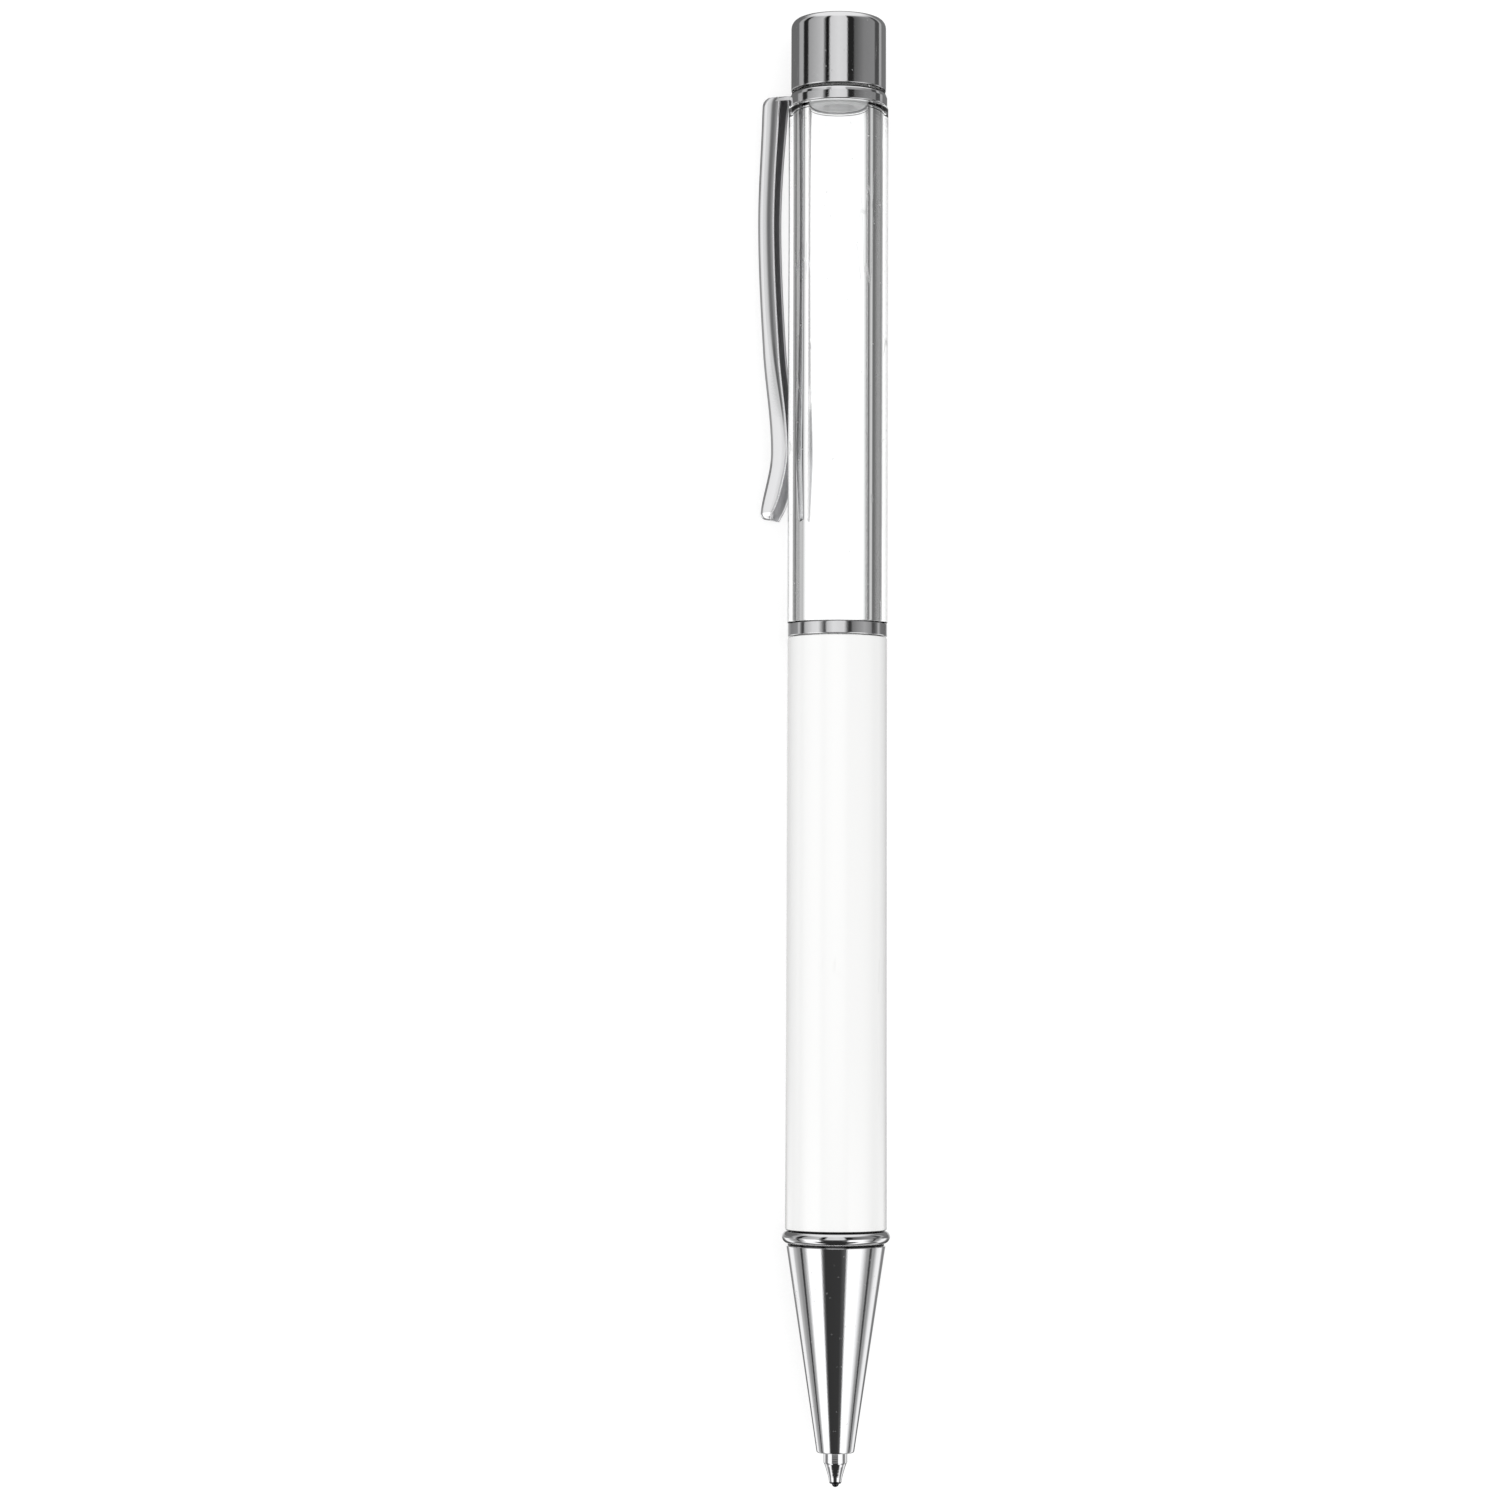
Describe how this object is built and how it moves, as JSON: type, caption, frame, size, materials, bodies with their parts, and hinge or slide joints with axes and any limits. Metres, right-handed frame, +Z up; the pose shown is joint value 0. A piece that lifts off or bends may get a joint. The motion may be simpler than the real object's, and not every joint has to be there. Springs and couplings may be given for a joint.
{
  "type": "ballpoint pen",
  "caption": "Twist-action ballpoint pen with a clear fillable chamber, a screw-off cap, a sprung pocket clip and a lacquered barrel that unscrews.",
  "frame": {"origin": "on the surface that the pen lies on, below the middle of its bounding box", "axes": "+X along the pen towards the writing tip, -X towards the cap, +Z up; the clip hangs low on the -Y side"},
  "size_m": [0.1402, 0.0126, 0.0103],
  "materials": {
    "chrome_plate": "mirror-bright nickel-chrome plating",
    "white_lacquer": "glossy white lacquer over a drawn brass tube",
    "clear_acrylic": "polished clear acrylic",
    "frosted_plastic": "translucent moulded plastic",
    "liner_plastic": "moulded white plastic",
    "dark_plastic": "moulded dark grey plastic",
    "machined_brass": "turned brass",
    "bright_steel": "bright turned and drawn steel"
  },
  "bodies": {
    "upper": {"chamber_tube": "clear_acrylic", "centre_band": "chrome_plate", "chamber_connector": "liner_plastic", "cam_sleeve": "machined_brass", "collar_ring": "chrome_plate", "clip_washer": "chrome_plate"},
    "clip": {"clip_arm": "chrome_plate"},
    "cap": {"cap_shell": "chrome_plate", "cap_liner": "liner_plastic", "chamber_stopper": "frosted_plastic"},
    "mechanism": {"guide_tube": "bright_steel", "guide_bush": "machined_brass", "bearing_washer": "dark_plastic", "retaining_ring": "bright_steel"},
    "carriage": {"refill_carrier": "dark_plastic", "follower_pin": "bright_steel", "refill_tube": "bright_steel", "refill_point": "bright_steel", "writing_ball": "bright_steel"},
    "lower_barrel": {"barrel_shell": "white_lacquer", "barrel_bush": "machined_brass", "front_insert": "machined_brass", "nose_ring": "chrome_plate", "nose_cone": "chrome_plate"}
  },
  "joints": [
    {"name": "clip_flex", "type": "hinge", "parent": "upper", "child": "clip", "pos_m": [-0.06257, -0.0027, 0.00305], "axis": [0, 0.4771, -0.8788], "range_deg": [0, 5], "stiffness_Nm_per_rad": 0.03, "springref_deg": -20.05},
    {"name": "cap_off", "type": "slide", "parent": "upper", "child": "cap", "axis": [-1, 0, 0], "range_m": [0, 0.018]},
    {"name": "barrel_twist", "type": "hinge", "parent": "upper", "child": "mechanism", "pos_m": [0, 0.00113, 0.00513], "axis": [1, 0, 0], "range_deg": [0, 180]},
    {"name": "refill_travel", "type": "slide", "parent": "mechanism", "child": "carriage", "axis": [-1, 0, 0], "range_m": [0, 0.0045]},
    {"name": "barrel_off", "type": "slide", "parent": "mechanism", "child": "lower_barrel", "axis": [1, 0, 0], "range_m": [0, 0.085]}
  ],
  "couplings": [
    {"joint": "refill_travel", "follows": "barrel_twist", "m_per_rad": 0.001432}
  ]
}
